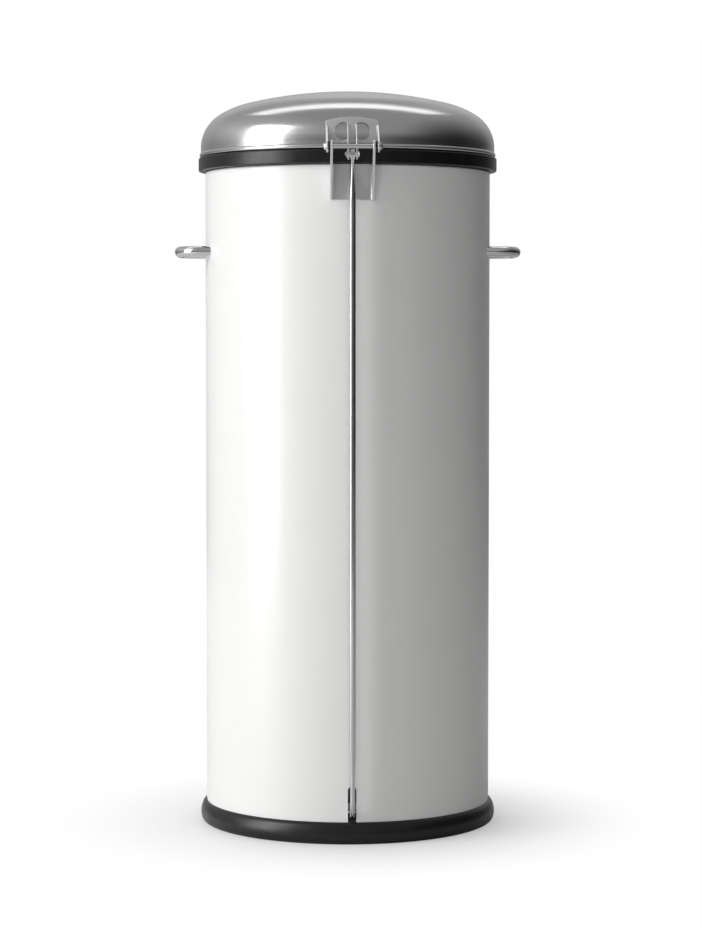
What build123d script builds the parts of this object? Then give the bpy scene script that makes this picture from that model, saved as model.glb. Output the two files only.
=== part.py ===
from build123d import *
import math
import os

# Step-on kitchen bin: a round steel body on a rubber ring, a domed lid on a rear hinge, a lever under
# the floor that the pedal presses, and a rod up the back that turns the lid.
# Millimetres, +Z up. The origin is on the floor, on the body's own axis. The pedal is at -Y and the
# hinge at +Y.

# ---------------------------------------------------------------- driving sizes
BODY_DIAMETER = 268.0        # outside of the painted shell
BODY_HEIGHT = 613.3          # floor to the top of the shell's rolled rim
BODY_WALL = 0.8
BODY_RIM_BEAD_R = 2.0        # rolled rim of the shell

BASE_RING_HEIGHT = 20.0
BASE_RING_FLARE = 5.7        # how far the ring stands out past the shell
RING_LIP_DROP = 4.0          # ring's inner wall below its outer lip
RING_LAND = 6.0              # ring's width inside the shell
RING_NOTCH_Z = 4.0           # floor of the notch that the lever passes over
BODY_FOOT_Z = 6.0            # shell's lower edge, in the ring's groove
BASE_PLATE_Z = 56.0          # underside of the bin's floor
BASE_PLATE_T = 1.0
HOOP_HEIGHT = 10.0           # hoop that holds the floor to the shell
HOOP_T = 1.5

SEAL_HEIGHT = 12.5
SEAL_OVERHANG = 6.4          # past the shell
SEAL_WIDTH = 8.9
SEAL_LIP = 8.0               # lip that stands up inside the dome
LID_OVERHANG = 4.2           # dome's side past the shell
LID_SIDE = 6.75              # straight side of the dome, above its bead's centre
LID_WALL = 0.8
LID_BEAD_R = 2.6
CROWN_R = 407.0              # dome section, from the crown out: three tangent arcs
SHOULDER_UPPER_R = 79.0
SHOULDER_LOWER_R = 35.6
SHOULDER_LOWER_ANGLE = 57.0  # degrees of the lower arc

PIN_R = 2.0                  # hinge pin
PIN_HEAD_R = 3.7
PIN_HEAD_T = 2.9
WASHER_R = 4.5
PIN_STANDOFF = 23.5          # pin's axis behind the shell
PIN_RISE = 13.8              # pin's axis above the shell's rim
ROD_PIVOT_IN = 10.5          # rod's pivot, in from the pin towards the body
ROD_PIVOT_DOWN = 6.5         # and below it

BODY_EAR_CENTRES = 37.6
BODY_BRACKET_T = 2.0
FOLD_R = 1.5                 # of the bracket's two folds
BODY_BRACKET_HEIGHT = 32.0
BRACKET_STUD_X = 10.0        # welded studs, each side of the middle
BRACKET_STUD_R = 2.0
BRACKET_STUD_LENGTH = 12.0
BRACKET_NUT_FLATS = 7.0
BRACKET_NUT_T = 3.2
BACKING_WIDTH = 34.0
BACKING_HEIGHT = 20.0
BACKING_T = 1.5
EAR_R = 5.4
LID_EAR_CENTRES = 45.7
LUG_CENTRES = 7.6
LID_BRACKET_T = 1.5
LID_BRACKET_RISE = 22.6      # plate's straight top edge above the dome's bead
LID_BRACKET_CROWN = 3.4      # arch of that edge at the middle
STIFFENER_WIDTH = 60.0
STIFFENER_T = 1.2
LUG_R = 4.7
WINDOW_R = 8.0               # D-shaped windows that the lugs are bent out of

ROD_R = 3.0
ROD_EYE_T = 4.0
ROD_EYE_R = 4.6
ROD_BLADE_T = 4.4            # flattened lower end
ROD_BLADE_W = 7.0
ROD_HOOK_BEND_R = 12.0
ROD_TAPER = 32.0             # below the eye, where the rod is flattened step by step
ROD_BLADE_RISE = 28.0        # blade's top above the lower pin
ROD_BLADE_TAPER = 30.0
RIVET_R = 2.0
RIVET_HEAD_R = 3.25
RIVET_HEAD_T = 2.5
FLAT_HEAD_RIM = 1.6          # flat rivet heads past their shanks

LEVER_Z = 29.0               # fulcrum pin's height
LEVER_WIDTH = 16.0
LEVER_HEIGHT = 10.0
LEVER_T = 2.0
FULCRUM_Y = 8.0
FULCRUM_PIN_R = 3.0
LEVER_TAIL_IN = 9.2          # lower rod pin, in from the shell's inside
LEVER_TAIL_Z = 27.5
PEDAL_REACH = 46.0           # pedal's front edge past the shell
PEDAL_WIDTH = 72.0
PEDAL_DEPTH = 38.0
PEDAL_T = 2.0
PEDAL_SKIRT = 5.0
PEDAL_STOP_T = 1.35
PEDAL_CORNER_R = 9.0
PEDAL_RIVET_SPACING = 16.0
PEDAL_RIVET_R = 1.5
PAD_T = 4.0
PAD_INSET = 3.0
PAD_RIBS = 5
PAD_RIB_WIDTH = 2.6
FULCRUM_PLATE_X = 22.0       # bracket's half width and half depth
FULCRUM_PLATE_Y = 12.0
FULCRUM_PLATE_T = 2.0
FULCRUM_RIVET_X = 17.0
FULCRUM_RIVET_Y = 7.0
FULCRUM_BOSS_R = 7.0
ROD_SWAY = 1.7               # fore-and-aft play of the rod's hook on its pin

SLOT_WIDTH = 7.7
SLOT_TOP = 52.6

HANDLE_DROP = 75.3           # handle's bar below the shell's rim
HANDLE_WIRE_R = 5.0
HANDLE_CENTRES = 68.0
HANDLE_REACH = 28.6          # handle's outermost face past the shell
HANDLE_BEND_R = 22.0
HANDLE_LEG_DEPTH = 10.7      # where the bar's legs start, inside the shell's round
STUD_R = 3.0
NUT_T = 5.0
NUT_FLATS = 10.0

BUCKET_DROP = 70.3           # bucket's rim below the shell's rim
BUCKET_SIDE_GAP = 20.2       # bucket's wall to the shell's inside, at the bucket's rim
BUCKET_TAPER = 8.0           # how much smaller its foot's radius is
BUCKET_FLOOR_RISE = 3.0
BUCKET_WALL = 0.8
BUCKET_BEAD_R = 2.2
BAIL_WIRE_R = 2.5
BAIL_PIVOT_RISE = 3.0        # above the bucket's rim
BAIL_BEND_R = 4.0
EAR_PLATE_T = 1.5
EAR_PLATE_HALF = 9.0         # half width
EAR_PLATE_DROP = 20.0        # foot of the plate below the bucket's rim
EAR_PLATE_GAP = 1.1          # to the bucket's wall, at the middle
EAR_BOSS_R = 6.0
EAR_RIVET_Y = 5.0
EAR_RIVET_DROP = 14.0
EAR_RIVET_R = 1.55
GRIP_R = 4.5
GRIP_ANGLE = 38.0            # degrees of the bail that the grip covers

# ---------------------------------------------------------------- clearances
SEAT_GAP = 0.3               # between bodies that rest on each other
FIT_GAP = 0.1                # between pieces of one body
RUN_GAP = 0.05               # radial, pins in moving ears
PIN_SEAT_GAP = 0.02          # radial, pins fixed in their ears
SIDE_GAP = 0.15              # beside washers and lever cheeks
HOLE_GAP = 0.3               # radial, studs in the shell
HEAD_GAP = 0.05              # under rivet heads
CHEEK_GAP = 0.45             # lever to the cheeks of its bracket
HOOK_SLOT_GAP = 0.35         # radial, lower pin in the rod's slot
LEVER_SIDE_ROOM = 2.5        # lever in the shell's opening
LEVER_TOP_ROOM = 3.0
LEVER_RING_ROOM = 1.5        # lever in the ring's notch
FLOOR_GAP = 0.2              # bucket on the floor
CUT = 6.0                    # how far cutters reach past the faces they cut

# ---------------------------------------------------------------- derived places
BODY_R = BODY_DIAMETER / 2
BODY_INNER_R = BODY_R - BODY_WALL
RING_R = BODY_R + BASE_RING_FLARE
SEAL_Z = BODY_HEIGHT + SEAT_GAP
SEAL_R = BODY_R + SEAL_OVERHANG
SEAL_TOP_Z = SEAL_Z + SEAL_HEIGHT
SEAL_INNER_R = SEAL_R - SEAL_WIDTH
LID_R = BODY_R + LID_OVERHANG
BEAD_CENTRE_R = LID_R - 1.4
BEAD_Z = SEAL_TOP_Z + FIT_GAP + LID_BEAD_R
DOME_SIDE_Z = BEAD_Z + LID_SIDE
PIN_Y = BODY_R + PIN_STANDOFF
PIN_Z = BODY_HEIGHT + PIN_RISE
ROD_Y = PIN_Y - ROD_PIVOT_IN
ROD_TOP_Z = PIN_Z - ROD_PIVOT_DOWN
BODY_EAR_X = BODY_EAR_CENTRES / 2
LID_EAR_X = LID_EAR_CENTRES / 2
LUG_X = LUG_CENTRES / 2
BODY_BRACKET_TOP_Z = BODY_HEIGHT - 0.3
BODY_BRACKET_Z = BODY_BRACKET_TOP_Z - BODY_BRACKET_HEIGHT
LID_BRACKET_TOP_Z = BEAD_Z + LID_BRACKET_RISE
PEDAL_FRONT_Y = -BODY_R - PEDAL_REACH
PEDAL_BACK_Y = PEDAL_FRONT_Y + PEDAL_DEPTH
PEDAL_MID_Y = (PEDAL_FRONT_Y + PEDAL_BACK_Y) / 2
LEVER_TOP_Z = LEVER_Z + LEVER_HEIGHT / 2
LEVER_FRONT_Y = PEDAL_FRONT_Y + 6.0
LEVER_TAIL_Y = BODY_INNER_R - LEVER_TAIL_IN
PEDAL_BASE_Z = LEVER_TOP_Z + FIT_GAP
HANDLE_Z = BODY_HEIGHT - HANDLE_DROP
HANDLE_X = BODY_R + HANDLE_REACH - HANDLE_WIRE_R
HANDLE_LEG_Y = HANDLE_CENTRES / 2
BUCKET_TOP_Z = BODY_HEIGHT - BUCKET_DROP
BUCKET_TOP_R = BODY_INNER_R - BUCKET_SIDE_GAP
BUCKET_FOOT_R = BUCKET_TOP_R - BUCKET_TAPER
BUCKET_Z = BASE_PLATE_Z + BASE_PLATE_T + FLOOR_GAP
EAR_RIVET_Z = BUCKET_TOP_Z - EAR_RIVET_DROP
BAIL_Z = BUCKET_TOP_Z + BAIL_PIVOT_RISE
EAR_PLATE_X = BUCKET_TOP_R - BUCKET_WALL - EAR_PLATE_GAP
BAIL_R = EAR_PLATE_X + 0.5 + BAIL_BEND_R

os.makedirs("parts", exist_ok=True)


def save(shape, name, colour):
    """Write one sub-part to its own STEP file."""
    shape.label = name
    shape.color = Color(*colour)
    export_step(shape, f"parts/{name}.step")


WHITE = (0.93, 0.93, 0.93)
STEEL = (0.72, 0.73, 0.75)
DARK_STEEL = (0.5, 0.51, 0.53)
BLACK = (0.05, 0.05, 0.055)
ZINC = (0.62, 0.65, 0.68)


# ---------------------------------------------------------------- shape helpers
def turned(outline):
    """Solid of revolution about Z of a closed outline drawn in the XZ plane."""
    return revolve(make_face(outline), Axis.Z)


def cylinder_x(x0, x1, y, z, radius):
    """Round bar along X between two planes."""
    return Pos((x0 + x1) / 2, y, z) * Rot(0, 90, 0) * Cylinder(radius, abs(x1 - x0))


def cylinder_z(x, y, z0, z1, radius):
    return Pos(x, y, (z0 + z1) / 2) * Cylinder(radius, z1 - z0)


def block(x0, x1, y0, y1, z0, z1):
    return Pos((x0 + x1) / 2, (y0 + y1) / 2, (z0 + z1) / 2) * Box(x1 - x0, y1 - y0, z1 - z0)


def plate_yz(points, x0, x1):
    """Flat plate across X whose outline is given as (y, z) points."""
    face = make_face(Polyline(*[(x0, y, z) for y, z in points], close=True))
    return extrude(face, amount=x1 - x0, dir=(1, 0, 0))


def domed_pin(y, z, face_x, shank_r, head_r, head_t):
    """Pin along X with a domed head outside each of the planes +-face_x."""
    tip = face_x + head_t
    ball_r = (head_r**2 + head_t**2) / (2 * head_t)
    half_way = math.asin(head_r / ball_r) / 2
    mid = (tip - ball_r + ball_r * math.cos(half_way), 0, ball_r * math.sin(half_way))
    outline = [
        Line((-tip, 0, 0), (tip, 0, 0)),
        ThreePointArc((tip, 0, 0), mid, (face_x, 0, head_r)),
        Line((face_x, 0, head_r), (face_x, 0, shank_r)),
        Line((face_x, 0, shank_r), (-face_x, 0, shank_r)),
        Line((-face_x, 0, shank_r), (-face_x, 0, head_r)),
        ThreePointArc((-face_x, 0, head_r), (-mid[0], 0, mid[2]), (-tip, 0, 0)),
    ]
    return Pos(0, y, z) * revolve(make_face(outline), Axis.X)


def hexagon_nut(across_flats, thickness, bore):
    nut = extrude(RegularPolygon(across_flats / 2, 6, major_radius=False), thickness)
    return nut - Pos(0, 0, thickness / 2) * Cylinder(bore, thickness * 2)


def tangent_drop(point, centre, radius, side):
    """(y, z) where a line from point touches a circle; side +1 or -1 picks which of the two."""
    dy, dz = point[0] - centre[0], point[1] - centre[1]
    away = math.atan2(dz, dy)
    spread = math.acos(radius / math.hypot(dy, dz)) * side
    return centre[0] + radius * math.cos(away + spread), centre[1] + radius * math.sin(away + spread)


def boss_plate(points, centre, radius, hole_r, x0, x1):
    """Ear: a plate from the given (y, z) points, closed round a boss with a hole through it."""
    ear = plate_yz(points, x0, x1) + cylinder_x(x0, x1, centre[0], centre[1], radius)
    return ear - cylinder_x(x0 - CUT, x1 + CUT, centre[0], centre[1], hole_r)


# ---------------------------------------------------------------- body
def body_shell():
    wall = Pos(0, 0, (BODY_FOOT_Z + BODY_HEIGHT - BODY_RIM_BEAD_R) / 2) * (
        Cylinder(BODY_R, BODY_HEIGHT - BODY_RIM_BEAD_R - BODY_FOOT_Z)
        - Cylinder(BODY_INNER_R, BODY_HEIGHT)
    )
    rim = Pos(0, 0, BODY_HEIGHT - BODY_RIM_BEAD_R) * Torus(BODY_R - BODY_RIM_BEAD_R, BODY_RIM_BEAD_R)
    shell = wall + rim
    slot_r = SLOT_WIDTH / 2
    shell -= block(-slot_r, slot_r, BODY_R - CUT, BODY_R + CUT, 0, SLOT_TOP - slot_r)
    shell -= Pos(0, BODY_R, SLOT_TOP - slot_r) * Rot(90, 0, 0) * Cylinder(slot_r, 2 * CUT)
    half = LEVER_WIDTH / 2 + LEVER_SIDE_ROOM
    shell -= block(-half, half, -BODY_R - CUT, -BODY_R + CUT, 0, LEVER_TOP_Z + LEVER_TOP_ROOM)
    for x, z in bracket_studs():
        shell -= Pos(x, BODY_R, z) * Rot(90, 0, 0) * Cylinder(BRACKET_STUD_R + HOLE_GAP, 2 * CUT)
    for side in (1, -1):
        for y in (HANDLE_LEG_Y, -HANDLE_LEG_Y):
            x0, x1 = side * (BODY_R - 2 * CUT), side * (BODY_R + CUT)
            shell -= cylinder_x(x0, x1, y, HANDLE_Z, STUD_R + HOLE_GAP)
    return shell


def base_ring():
    groove_in = BODY_INNER_R - FIT_GAP
    groove_out = BODY_R + FIT_GAP
    lip_z = BASE_RING_HEIGHT
    inner = groove_in - RING_LAND
    step_z = lip_z - RING_LIP_DROP
    groove_z = BODY_FOOT_Z - FIT_GAP
    outline = [
        Line((inner, 0, 2), (inner, 0, step_z)),
        Line((inner, 0, step_z), (groove_in, 0, step_z)),
        Line((groove_in, 0, step_z), (groove_in, 0, groove_z)),
        Line((groove_in, 0, groove_z), (groove_out, 0, groove_z)),
        Line((groove_out, 0, groove_z), (groove_out, 0, lip_z)),
        ThreePointArc((groove_out, 0, lip_z), (RING_R - 3.0, 0, lip_z - 2.0), (RING_R - 1.5, 0, lip_z - 4.8)),
        ThreePointArc((RING_R - 1.5, 0, lip_z - 4.8), (RING_R - 0.1, 0, 9.5), (RING_R - 0.9, 0, 3.6)),
        ThreePointArc((RING_R - 0.9, 0, 3.6), (RING_R - 2.2, 0, 1.3), (RING_R - 4.6, 0, 0)),
        Line((RING_R - 4.6, 0, 0), (inner + 2, 0, 0)),
        Line((inner + 2, 0, 0), (inner, 0, 2)),
    ]
    ring = turned(outline)
    half = LEVER_WIDTH / 2 + LEVER_RING_ROOM
    ring -= block(-half, half, -RING_R - CUT, -inner + CUT, RING_NOTCH_Z, lip_z + CUT)
    slot_r = SLOT_WIDTH / 2
    ring -= block(-slot_r, slot_r, inner - CUT, groove_in + FIT_GAP, step_z - 1, lip_z + CUT)
    return ring


def base_plate():
    plate = Pos(0, 0, BASE_PLATE_Z + BASE_PLATE_T / 2) * Cylinder(BODY_INNER_R - FIT_GAP, BASE_PLATE_T)
    for x, y in fulcrum_rivet_places():
        plate -= cylinder_z(x, y, BASE_PLATE_Z - CUT, BASE_PLATE_Z + CUT, RIVET_R + PIN_SEAT_GAP)
    return plate


def floor_hoop():
    """Hoop on the floor's edge that the floor is spot-welded to the shell by."""
    outer = BODY_INNER_R - FIT_GAP
    middle_z = BASE_PLATE_Z + BASE_PLATE_T + FIT_GAP + HOOP_HEIGHT / 2
    return Pos(0, 0, middle_z) * (Cylinder(outer, HOOP_HEIGHT) - Cylinder(outer - HOOP_T, HOOP_HEIGHT + CUT))


def bracket_studs():
    """(x, z) of the two welded studs that hold the hinge bracket."""
    z = BODY_BRACKET_Z + BODY_BRACKET_HEIGHT / 2
    return [(-BRACKET_STUD_X, z), (BRACKET_STUD_X, z)]


def is_at(vertex, x, y):
    """Whether a vertex lies at (+x, y) or (-x, y)."""
    return abs(abs(vertex.X) - x) < 0.01 and abs(vertex.Y - y) < 0.01


def body_bracket():
    inside = BODY_R + FIT_GAP
    outside = inside + BODY_BRACKET_T
    half = BODY_EAR_X + BODY_BRACKET_T / 2
    reach = PIN_Y + EAR_R + CUT
    web_y = math.sqrt(inside**2 - half**2)
    web = (Circle(outside) - Circle(inside)) & (Pos(0, BODY_R) * Rectangle(2 * half, 3 * CUT))
    profile = web
    for side in (1, -1):
        profile += Pos(side * BODY_EAR_X, (web_y + reach) / 2) * Rectangle(BODY_BRACKET_T, reach - web_y)
    corners = profile.vertices()
    inner_y = math.sqrt(outside**2 - (half - BODY_BRACKET_T) ** 2)
    near = [v for v in corners if is_at(v, half - BODY_BRACKET_T, inner_y)]
    profile = fillet(near, FOLD_R)
    far = [v for v in profile.vertices() if is_at(v, half, web_y)]
    profile = fillet(far, FOLD_R) - Circle(inside)
    blank = Pos(0, 0, BODY_BRACKET_Z) * extrude(profile, EAR_R + PIN_Z - BODY_BRACKET_Z + CUT)
    pin = (PIN_Y, PIN_Z)
    heel = (BODY_R + 5.0, BODY_BRACKET_Z)
    throat = (SEAL_R + 1.2, BODY_BRACKET_TOP_Z)
    outline = [
        (BODY_R - CUT, BODY_BRACKET_Z),
        heel,
        tangent_drop(heel, pin, EAR_R, 1),
        tangent_drop(throat, pin, EAR_R, -1),
        throat,
        (BODY_R - CUT, BODY_BRACKET_TOP_Z),
    ]
    wide = half + CUT
    keep = plate_yz(outline, -wide, wide) + cylinder_x(-wide, wide, PIN_Y, PIN_Z, EAR_R)
    bracket = blank & keep
    bracket -= cylinder_x(-wide, wide, PIN_Y, PIN_Z, PIN_R + PIN_SEAT_GAP)
    for x, z in bracket_studs():
        y = math.sqrt(outside**2 - x**2)
        bracket += Pos(x, y - BRACKET_STUD_LENGTH / 2 - 0.5, z) * Rot(90, 0, 0) * Cylinder(
            BRACKET_STUD_R, BRACKET_STUD_LENGTH
        )
    return bracket


def backing_plate():
    outer = BODY_INNER_R - FIT_GAP
    ring = Circle(outer) - Circle(outer - BACKING_T)
    strip = ring & (Pos(0, BODY_R) * Rectangle(BACKING_WIDTH, 3 * CUT))
    foot_z = BODY_BRACKET_Z + (BODY_BRACKET_HEIGHT - BACKING_HEIGHT) / 2
    plate = Pos(0, 0, foot_z) * extrude(strip, BACKING_HEIGHT)
    for x, z in bracket_studs():
        plate -= Pos(x, BODY_R, z) * Rot(90, 0, 0) * Cylinder(BRACKET_STUD_R + HOLE_GAP, 3 * CUT)
    return plate


def bracket_nuts():
    nuts = []
    inner = BODY_INNER_R - FIT_GAP - BACKING_T
    nut = Rot(90, 0, 0) * hexagon_nut(BRACKET_NUT_FLATS, BRACKET_NUT_T, BRACKET_STUD_R + PIN_SEAT_GAP)
    corner = BRACKET_NUT_FLATS / math.sqrt(3)
    for x, z in bracket_studs():
        y = math.sqrt(inner**2 - (abs(x) + corner) ** 2) - FIT_GAP
        nuts.append(Pos(x, y, z) * nut)
    return Compound(children=nuts)


def hinge_pin():
    face_x = LID_EAR_X + LID_BRACKET_T / 2 + SIDE_GAP
    return domed_pin(PIN_Y, PIN_Z, face_x, PIN_R, PIN_HEAD_R, PIN_HEAD_T)


def side_handle(side):
    leg_x = BODY_R - HANDLE_LEG_DEPTH
    path = FilletPolyline(
        (leg_x, -HANDLE_LEG_Y),
        (HANDLE_X, -HANDLE_LEG_Y),
        (HANDLE_X, HANDLE_LEG_Y),
        (leg_x, HANDLE_LEG_Y),
        radius=HANDLE_BEND_R,
    )
    bar = sweep(Plane(origin=(leg_x, -HANDLE_LEG_Y, 0), z_dir=(1, 0, 0)) * Circle(HANDLE_WIRE_R), path=path)
    bar -= Cylinder(BODY_R + FIT_GAP, 8 * HANDLE_WIRE_R)
    inner_x = nut_face_x() - NUT_T - 2.0
    for y in (HANDLE_LEG_Y, -HANDLE_LEG_Y):
        bar += cylinder_x(inner_x, BODY_R + 2, y, 0, STUD_R)
    bar = Pos(0, 0, HANDLE_Z) * bar
    return bar if side > 0 else bar.rotate(Axis.Z, 180)


def nut_face_x():
    """Where a handle's nut bears on the inside of the shell."""
    corner = NUT_FLATS / math.sqrt(3)
    return math.sqrt(BODY_INNER_R**2 - (HANDLE_LEG_Y + corner) ** 2) - FIT_GAP


def handle_nuts():
    nuts = []
    for side in (1, -1):
        for y in (HANDLE_LEG_Y, -HANDLE_LEG_Y):
            nut = Rot(0, -90, 0) * hexagon_nut(NUT_FLATS, NUT_T, STUD_R + PIN_SEAT_GAP)
            nut = Pos(nut_face_x(), y, HANDLE_Z) * nut
            nuts.append(nut if side > 0 else nut.rotate(Axis.Z, 180))
    return Compound(children=nuts)


# ---------------------------------------------------------------- lid
def dome_outline(shrink):
    """The dome's section as three tangent arcs, from its straight side to the crown.

    shrink moves it inside the outer skin, and a negative one moves it outside.
    """
    turn = math.radians(SHOULDER_LOWER_ANGLE)
    lower_x, lower_z = LID_R - SHOULDER_LOWER_R, DOME_SIDE_Z
    apart = SHOULDER_UPPER_R - SHOULDER_LOWER_R
    upper_x = lower_x - apart * math.cos(turn)
    upper_z = lower_z - apart * math.sin(turn)
    crown_z = upper_z - math.sqrt((CROWN_R - SHOULDER_UPPER_R) ** 2 - upper_x**2)
    end = math.atan2(upper_z - crown_z, upper_x)

    def arc(x, z, radius, start, stop):
        angles = [start, (start + stop) / 2, stop]
        r = radius - shrink
        return [(x + r * math.cos(a), 0, z + r * math.sin(a)) for a in angles]

    return [
        arc(lower_x, lower_z, SHOULDER_LOWER_R, 0, turn),
        arc(upper_x, upper_z, SHOULDER_UPPER_R, turn, end),
        arc(0, crown_z, CROWN_R, end, math.pi / 2),
    ]


def dome_wall(outer_shrink, inner_shrink, foot_z):
    """Shell between two skins of the dome, down to foot_z."""
    outer = dome_outline(outer_shrink)
    inner = dome_outline(inner_shrink)
    foot_out = (outer[0][0][0], 0, foot_z)
    foot_in = (inner[0][0][0], 0, foot_z)
    edges = [Line(foot_out, outer[0][0])]
    edges += [ThreePointArc(*arc) for arc in outer]
    edges += [Line(outer[2][2], inner[2][2])]
    edges += [ThreePointArc(*reversed(arc)) for arc in reversed(inner)]
    edges += [Line(inner[0][0], foot_in), Line(foot_in, foot_out)]
    return turned(edges)


def solid_dome(grow):
    """Everything inside the dome's outer skin, grown by a gap: cuts brackets to sit on the lid."""
    outer = dome_outline(-grow)
    foot_z = SEAL_Z
    foot = (outer[0][0][0], 0, foot_z)
    edges = [Line((0, 0, foot_z), foot), Line(foot, outer[0][0])]
    edges += [ThreePointArc(*arc) for arc in outer]
    edges += [Line(outer[2][2], (0, 0, foot_z))]
    return turned(edges)


def lid_dome():
    bead = Pos(0, 0, BEAD_Z) * Torus(BEAD_CENTRE_R, LID_BEAD_R)
    return dome_wall(0, LID_WALL, BEAD_Z) + bead


def lid_seal():
    inner, outer = SEAL_INNER_R, SEAL_R
    lip_out = BEAD_CENTRE_R - LID_BEAD_R - FIT_GAP
    z0, z1 = SEAL_Z, SEAL_TOP_Z
    outline = [
        Line((inner, 0, z0 + 1), (inner, 0, z1 + SEAL_LIP)),
        Line((inner, 0, z1 + SEAL_LIP), (lip_out, 0, z1 + SEAL_LIP)),
        Line((lip_out, 0, z1 + SEAL_LIP), (lip_out, 0, z1)),
        Line((lip_out, 0, z1), (outer - 1.6, 0, z1)),
        ThreePointArc((outer - 1.6, 0, z1), (outer - 0.45, 0, z1 - 0.45), (outer, 0, z1 - 1.6)),
        Line((outer, 0, z1 - 1.6), (outer, 0, z0 + 1.2)),
        ThreePointArc((outer, 0, z0 + 1.2), (outer - 0.35, 0, z0 + 0.35), (outer - 1.2, 0, z0)),
        Line((outer - 1.2, 0, z0), (inner + 1, 0, z0)),
        Line((inner + 1, 0, z0), (inner, 0, z0 + 1)),
    ]
    return turned(outline)


def lid_bracket():
    t = LID_BRACKET_T
    half = LID_EAR_X + t / 2
    foot_z = BEAD_Z + LID_BEAD_R + FIT_GAP
    plate = dome_wall(-FIT_GAP - t, -FIT_GAP, foot_z)
    top = LID_BRACKET_TOP_Z
    face = make_face(
        [
            Line((-half, 0, foot_z), (half, 0, foot_z)),
            Line((half, 0, foot_z), (half, 0, top)),
            ThreePointArc((half, 0, top), (0, 0, top + LID_BRACKET_CROWN), (-half, 0, top)),
            Line((-half, 0, top), (-half, 0, foot_z)),
        ]
    )
    plate &= extrude(face, amount=LID_R + 2 * CUT, dir=(0, 1, 0))
    window_x = LUG_X + t / 2 + WINDOW_R / 2 - 0.4
    window_z = foot_z + WINDOW_R + 2.4
    for side in (1, -1):
        window = Pos(side * window_x, LID_R, window_z) * Rot(90, 0, 0) * Cylinder(WINDOW_R, 10 * CUT)
        x0, x1 = sorted((side * (LUG_X + t / 2), side * half))
        plate -= window & block(x0, x1, 0, LID_R + 5 * CUT, foot_z, top)
    bracket = plate
    pin = (PIN_Y, PIN_Z)
    ear_top = (BODY_R - 3.2, top - 0.6)
    ear_foot = (SEAL_R + 0.8, foot_z)
    ear = [
        (BODY_R - 3.2, foot_z),
        ear_foot,
        tangent_drop(ear_foot, pin, EAR_R, 1),
        tangent_drop(ear_top, pin, EAR_R, -1),
        ear_top,
    ]
    skin = solid_dome(FIT_GAP)
    for side in (1, -1):
        x0, x1 = side * LID_EAR_X - t / 2, side * LID_EAR_X + t / 2
        bracket += boss_plate(ear, pin, EAR_R, PIN_R + RUN_GAP, x0, x1) - skin
    pivot = (ROD_Y, ROD_TOP_Z)
    lug_top = (BODY_R + 1.0, window_z + WINDOW_R - 1.0)
    lug_shoulder = (ROD_Y + 2.2, window_z + WINDOW_R - 4.0)
    lug_foot = (SEAL_R + 1.0, foot_z + 2.0)
    lug = [
        (BODY_R + 1.0, foot_z + 2.0),
        lug_foot,
        tangent_drop(lug_foot, pivot, LUG_R, 1),
        (ROD_Y, ROD_TOP_Z),
        tangent_drop(lug_shoulder, pivot, LUG_R, -1),
        lug_shoulder,
        lug_top,
    ]
    for side in (1, -1):
        x0, x1 = side * LUG_X - t / 2, side * LUG_X + t / 2
        bracket += boss_plate(lug, pivot, LUG_R, RIVET_R + PIN_SEAT_GAP, x0, x1) - skin
    return bracket


def lid_stiffener():
    """Curved plate inside the dome that the lid bracket is spot-welded through."""
    inner = LID_WALL + FIT_GAP
    half = STIFFENER_WIDTH / 2
    foot_z = SEAL_TOP_Z + SEAL_LIP + 1.0
    plate = dome_wall(inner, inner + STIFFENER_T, foot_z)
    return plate & block(-half, half, 0, LID_R + CUT, foot_z, LID_BRACKET_TOP_Z - 2.0)


def hinge_washers():
    x0 = BODY_EAR_X + BODY_BRACKET_T / 2 + SIDE_GAP
    x1 = LID_EAR_X - LID_BRACKET_T / 2 - SIDE_GAP
    washers = []
    for side in (1, -1):
        ring = cylinder_x(side * x0, side * x1, PIN_Y, PIN_Z, WASHER_R)
        washers.append(ring - cylinder_x(-LID_EAR_X, LID_EAR_X, PIN_Y, PIN_Z, PIN_R + RUN_GAP))
    return Compound(children=washers)


def rod_rivet():
    face_x = LUG_X + LID_BRACKET_T / 2 + PIN_SEAT_GAP
    return domed_pin(ROD_Y, ROD_TOP_Z, face_x, RIVET_R, RIVET_HEAD_R, RIVET_HEAD_T)


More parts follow.
